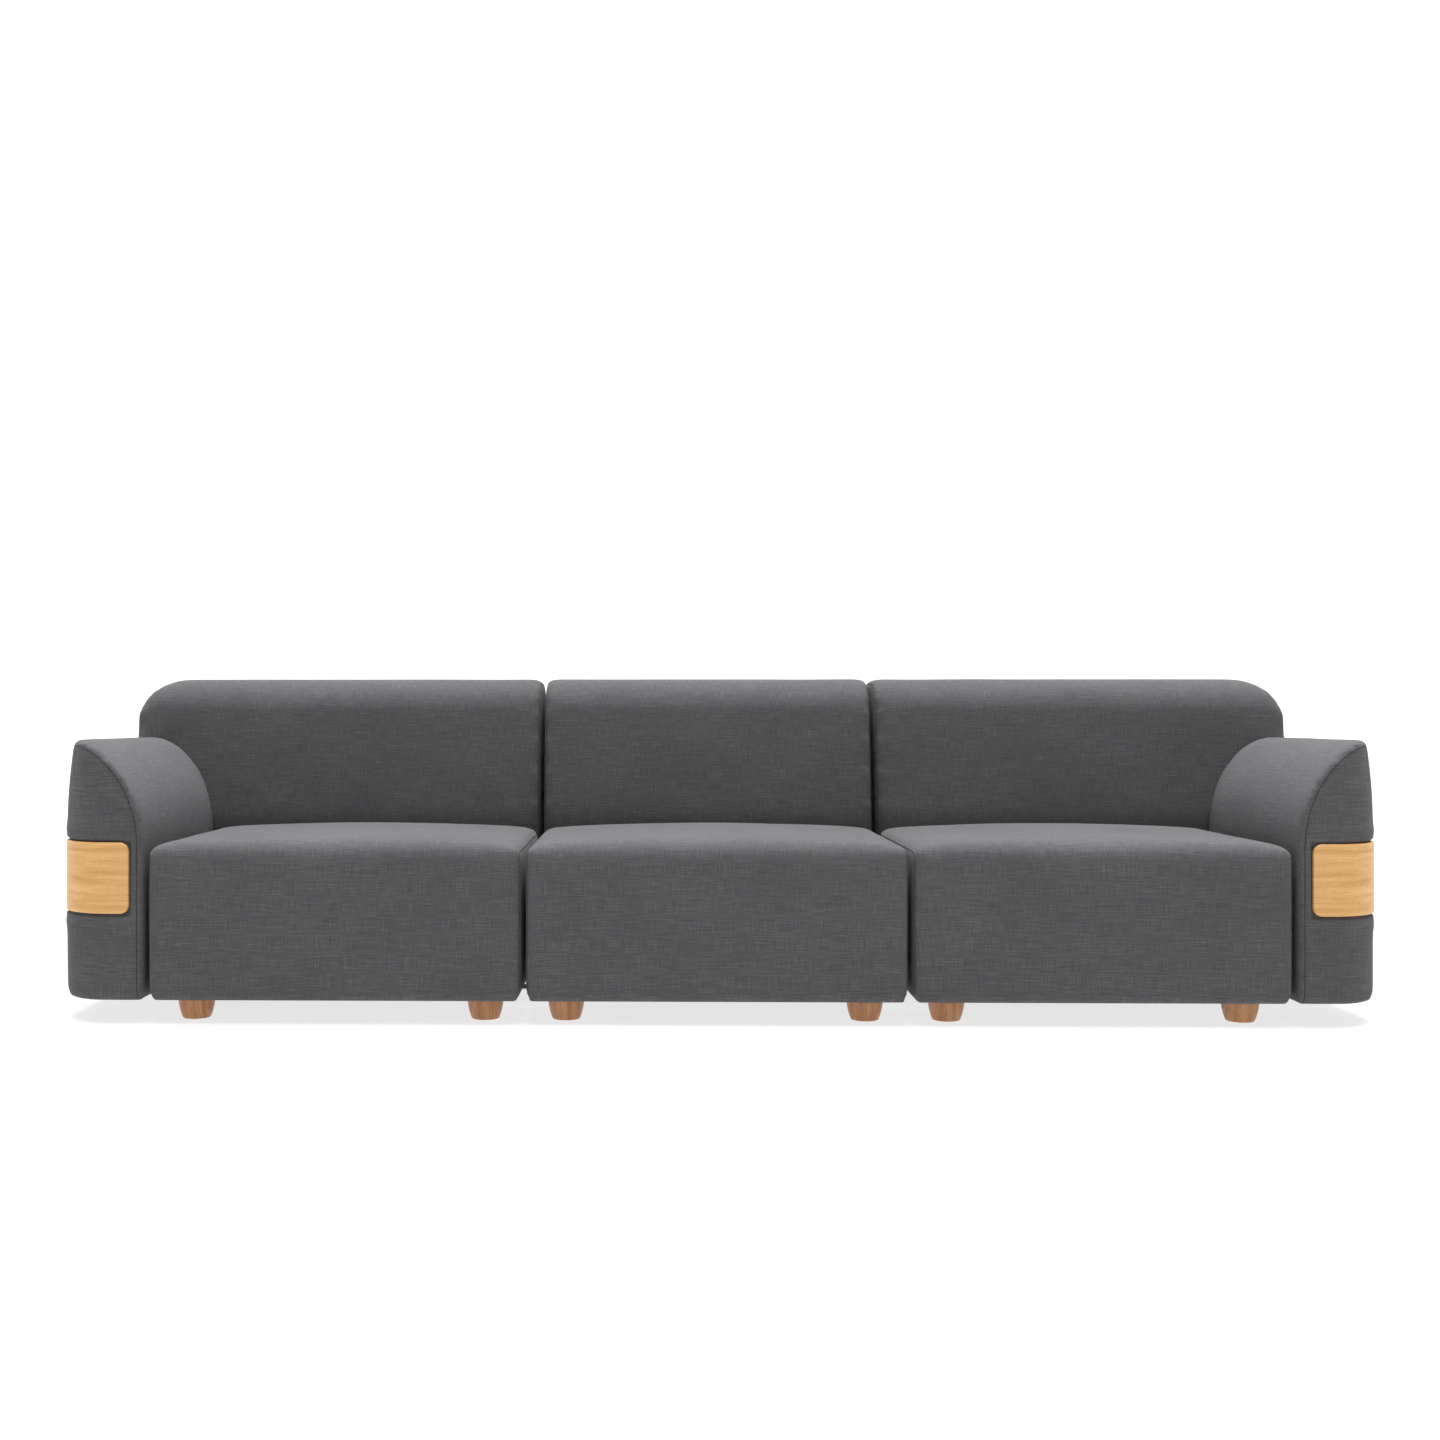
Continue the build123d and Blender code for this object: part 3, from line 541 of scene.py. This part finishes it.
# %% Make the eight blocks
seats = {side: upholster(side, "seat") for side in SIDES}
backs = {side: upholster(side, "back") for side in SIDES}
arms = {side: upholster(side, "arm", shape_arm) for side in ARM_SIDES}

# %% [markdown]
# ## The arm's front seam
# The arm's front panel is sewn to the panel that runs over its top and down its inner side. The
# seam follows the arm's curve a little inside its outline. It is a thin thread coloured near black,
# which paints in the shade of the seam's groove, with a row of short stitches beside it. Both are
# laid on the finished cloth: each point is dropped onto the surface from in front, so the seam sits
# on the real shape of the block.

# %% The path of a seam
SEAM_INSET = 13 * MM
SEAM_RADIUS = 0.7 * MM
SEAM_LIFT = 0.1 * MM    # how far the middle of a seam's thread lies above the cloth
STITCH_PITCH = 6.5 * MM
STITCH_LENGTH = 4 * MM
STITCH_WIDTH = 1 * MM
STITCH_HEIGHT = 0.7 * MM
STITCH_OFFSET = 3.5 * MM    # from the seam to the row of stitches
SHOULDER = 397 * MM     # the inner side is upright below this height
CREST_RADIUS = 26 * MM  # of the arm's outer top edge
CREST_END = 30 * MM     # the crest's seam stops this far from either end of the arm
CREST_PITCH = 8 * MM
FAR_OFF = 2.0           # from here a ray is dropped onto the sofa


def surface_of(piece):
    places = [v.co[:] for v in piece.data.vertices]
    return BVHTree.FromPolygons(places, [p.vertices[:] for p in piece.data.polygons])


def panel_outline(side):
    """The outline of the front panel as (x, z) points, evenly spaced, from the crest down to the base."""
    low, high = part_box(f"{side}_arm_cover")
    sign = 1 if side == "right" else -1
    inner = min(abs(low.x), abs(high.x)) + SEAM_INSET
    crest = max(abs(low.x), abs(high.x)) - CREST_RADIUS
    top = high.z - SEAM_INSET
    turns = [math.radians(90 + 90 * i / 24) for i in range(25)]
    curve = [(crest + (crest - inner) * math.cos(t), SHOULDER + (top - SHOULDER) * math.sin(t))
             for t in turns]
    curve.append((inner, low.z + 4 * MM))
    return spaced([(sign * float(leaned(x, z, side)), z) for x, z in curve], STITCH_PITCH / 2)


def spaced(path, pitch):
    """Points at an even pitch along a path of straight runs."""
    path = np.array(path)
    lengths = np.concatenate([[0], np.cumsum(np.linalg.norm(np.diff(path, axis=0), axis=1))])
    marks = np.arange(0, lengths[-1], pitch)
    return np.stack([np.interp(marks, lengths, path[:, axis]) for axis in range(path.shape[1])], axis=1)


def on_front(tree, outline):
    """Drop each (x, z) point onto the surface from in front; give the points and the normals."""
    found = []
    for x, z in outline:
        place, normal, _, _ = tree.ray_cast(Vector((x, -FAR_OFF, z)), Vector((0, 1, 0)))
        if place:
            found.append((place + normal * SEAM_LIFT, normal))
    return found


# %% Sew the arms
def tube_along(name, points, radius, closed=False):
    """A round thread through points: a curve with a bevel, turned into a mesh."""
    curve = bpy.data.curves.new(name, "CURVE")
    curve.dimensions = "3D"
    curve.bevel_depth = radius
    curve.bevel_resolution = 1
    curve.use_fill_caps = True
    spline = curve.splines.new("POLY")
    spline.points.add(len(points) - 1)
    spline.use_cyclic_u = closed
    for target, place in zip(spline.points, points):
        target.co = (*place, 1.0)
    holder = add_piece(name, curve)
    mesh = bpy.data.meshes.new_from_object(holder.evaluated_get(depsgraph_of()))
    bpy.data.objects.remove(holder)
    return add_piece(name, mesh)


def stitch_row(name, found, offset):
    """Short stitches beside the seam: one small rounded bar for each."""
    form = bmesh.new()
    for i in range(0, len(found) - 2, 2):
        start, normal = found[i]
        end = found[i + 1][0]
        along = (end - start).normalized()
        beside = normal.cross(along).normalized() * offset
        bar = bmesh.ops.create_cube(form, size=1.0)
        middle = (start + end) / 2 + beside
        for vert in bar["verts"]:
            x, y, z = vert.co
            level = middle + along * (x * STITCH_LENGTH) + normal.cross(along) * (y * STITCH_WIDTH)
            vert.co = level + normal * (z * STITCH_HEIGHT)
    bmesh.ops.bevel(form, geom=form.edges[:], offset=0.2 * MM, segments=1, affect="EDGES", profile=0.5,
                    material=-1)
    mesh = bpy.data.meshes.new(name)
    form.to_mesh(mesh)
    form.free()
    return add_piece(name, mesh)


def crest_line(tree, side):
    """The seam along the arm's top outer edge, from the front panel to the rear, dropped from above."""
    low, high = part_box(f"{side}_arm_cover")
    sign = 1 if side == "right" else -1
    x = sign * float(leaned(max(abs(low.x), abs(high.x)) - CREST_RADIUS, high.z, side))
    found = []
    for y in np.arange(low.y + CREST_END, high.y - CREST_END, CREST_PITCH):
        place, normal, _, _ = tree.ray_cast(Vector((x, y, FAR_OFF)), Vector((0, 0, -1)))
        if place:
            found.append(place + normal * SEAM_LIFT)
    return found


def sew(side, piece, finish):
    piece.data.materials.clear()
    piece.data.materials.append(finish)
    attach(piece, f"{side}_module")


# The seam thread is near black: painted shade of the groove along a real seam, not the thread's own colour
seam_shade_thread = speckled("near_black_seam_thread_painted_shade", "#1c1c1e", "#2c2c2f", 1 * MM, 0.8)
thread_grey = speckled("grey_topstitch_thread", "#4b4b4e", "#6a6a6e", 1 * MM, 0.75)
for side in ARM_SIDES:
    tree = surface_of(arms[side])
    found = on_front(tree, panel_outline(side))
    seam = tube_along(f"{side}_arm_seam", [place for place, _ in found], SEAM_RADIUS)
    toward_panel = STITCH_OFFSET if side == "right" else -STITCH_OFFSET
    stitches = stitch_row(f"{side}_arm_stitches", found, toward_panel)
    crest = tube_along(f"{side}_arm_crest_seam", crest_line(tree, side), SEAM_RADIUS)
    sew(side, seam, seam_shade_thread)
    sew(side, crest, seam_shade_thread)
    sew(side, stitches, thread_grey)
    print(f"{side} arm: seam of {len(found)} points")

# %% [markdown]
# ## Side panels of the blocks
# A block's side is its own piece of cloth, sewn to the long panel that runs over the front, top and
# rear. The seam is the line where a plane just inside the side cuts the block.

# %% Sew the side panels
PANEL_INSET = 5 * MM
PANEL_SEAM_RADIUS = 0.8 * MM


def section_loop(piece, x):
    """The closed line where the plane at x cuts a block, in order."""
    form = bmesh.new()
    form.from_mesh(piece.data)
    everything = form.verts[:] + form.edges[:] + form.faces[:]
    cut = bmesh.ops.bisect_plane(form, geom=everything, plane_co=(x, 0, 0), plane_no=(1, 0, 0))
    edges = {g for g in cut["geom_cut"] if isinstance(g, bmesh.types.BMEdge)}
    vert = next(iter(edges)).verts[0]
    loop = []
    while True:
        onward = [e for e in vert.link_edges if e in edges]
        if not onward:
            break
        edges.discard(onward[0])
        vert = onward[0].other_vert(vert)
        loop.append(vert.co.copy())
    form.free()
    return loop


for side in SIDES:
    for part, block in (("seat", seats[side]), ("back", backs[side])):
        low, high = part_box(f"{side}_{part}_cover")
        for end, x in (("low", low.x + PANEL_INSET), ("high", high.x - PANEL_INSET)):
            loop = section_loop(block, x)
            # The near-black thread paints the shade of the seam's groove along the real seam
            seam = tube_along(f"{side}_{part}_{end}_seam", loop, PANEL_SEAM_RADIUS, closed=True)
            sew(side, seam, seam_shade_thread)
    print(f"{side}: side panels sewn")

# %% [markdown]
# ## Floor, light and camera
# A pale studio sweep stands under one very soft light from above. The sweep's paper glows by itself,
# though it is no lamp and nothing lights it from behind: this painted light keeps the shadow under the
# sofa pale and lights the fronts from below. It glows more towards the rear, where the floor turns up
# into the wall. All of it is part of the room, not of the sofa.

# %% Studio
FLOOR_HALF = 14.0
WALL_HEIGHT = 9.0
WALL_Y = 7.0
SWEEP_RADIUS = 3.0
GLOW_FROM, GLOW_TO = 2.0, 5.0   # how far back the floor's glow starts and stops growing
sweep = bmesh.new()
bmesh.ops.create_grid(sweep, x_segments=1, y_segments=1, size=1.0)
for vert in sweep.verts:
    vert.co = (vert.co.x * FLOOR_HALF, WALL_Y if vert.co.y > 0 else -FLOOR_HALF, 0)
far = [e for e in sweep.edges if all(v.co.y > WALL_Y - 0.1 for v in e.verts)]
raised = bmesh.ops.extrude_edge_only(sweep, edges=far)["geom"]
for vert in (g for g in raised if isinstance(g, bmesh.types.BMVert)):
    vert.co.z = WALL_HEIGHT
corner = [e for e in sweep.edges if all(abs(v.co.z) < 1e-6 and v.co.y > WALL_Y - 0.1 for v in e.verts)]
bmesh.ops.bevel(sweep, geom=corner, offset=SWEEP_RADIUS, segments=24, affect="EDGES", profile=0.5,
                material=-1)
bmesh.ops.recalc_face_normals(sweep, faces=sweep.faces)
sweep_mesh = bpy.data.meshes.new("studio_sweep")
sweep.to_mesh(sweep_mesh)
sweep.free()
studio = add_piece("studio_sweep", sweep_mesh)
for polygon in studio.data.polygons:
    polygon.use_smooth = True
paper, paper_tree, paper_shader = new_material("self_glowing_white_paper")
# Painted light: the paper glows though it is no lamp, which lifts the shadow under the sofa, and the glow
# grows towards the rear
paper_shader.inputs["Emission Color"].default_value = linear("#ffffff")
depth = put(paper_tree, "ShaderNodeSeparateXYZ", {
    "Vector": put(paper_tree, "ShaderNodeTexCoord").outputs["Object"]}).outputs["Y"]
glow = put(paper_tree, "ShaderNodeMapRange", {"Value": depth, "From Min": GLOW_FROM, "From Max": GLOW_TO,
                                              "To Min": 0.76, "To Max": 1.0})
paper_tree.links.new(glow.outputs[0], paper_shader.inputs["Emission Strength"])
paper_shader.inputs["Base Color"].default_value = linear("#7c7c7c")
paper_shader.inputs["Roughness"].default_value = 0.95
studio.data.materials.append(paper)
scene.view_settings.view_transform = "Standard"

world = bpy.data.worlds.new("studio_air")
world.use_nodes = True
air = world.node_tree.nodes["Background"].inputs
air["Color"].default_value = linear("#ffffff")
air["Strength"].default_value = 0.22
scene.world = world

sun = bpy.data.lights.new("diffused_overhead", "SUN")
sun.energy = 6.3
sun.angle = math.radians(42)
lamp = bpy.data.objects.new("diffused_overhead", sun)
lamp.rotation_euler = (math.radians(-3), math.radians(1), 0)
scene.collection.objects.link(lamp)

# %% Camera
EYE = Vector((-0.138, cad_box[0][1] - 3.565, 0.686))
TURN = math.radians(1.1)     # the camera looks a little to the left of straight ahead
camera_data = bpy.data.cameras.new("camera")
camera_data.lens = 40.05
camera_data.sensor_width = 36.0
camera_data.shift_x = 0.0667
camera_data.shift_y = -0.0014
camera = bpy.data.objects.new("camera", camera_data)
camera.location = EYE
camera.rotation_euler = (math.radians(90), 0, TURN)
scene.collection.objects.link(camera)
scene.camera = camera
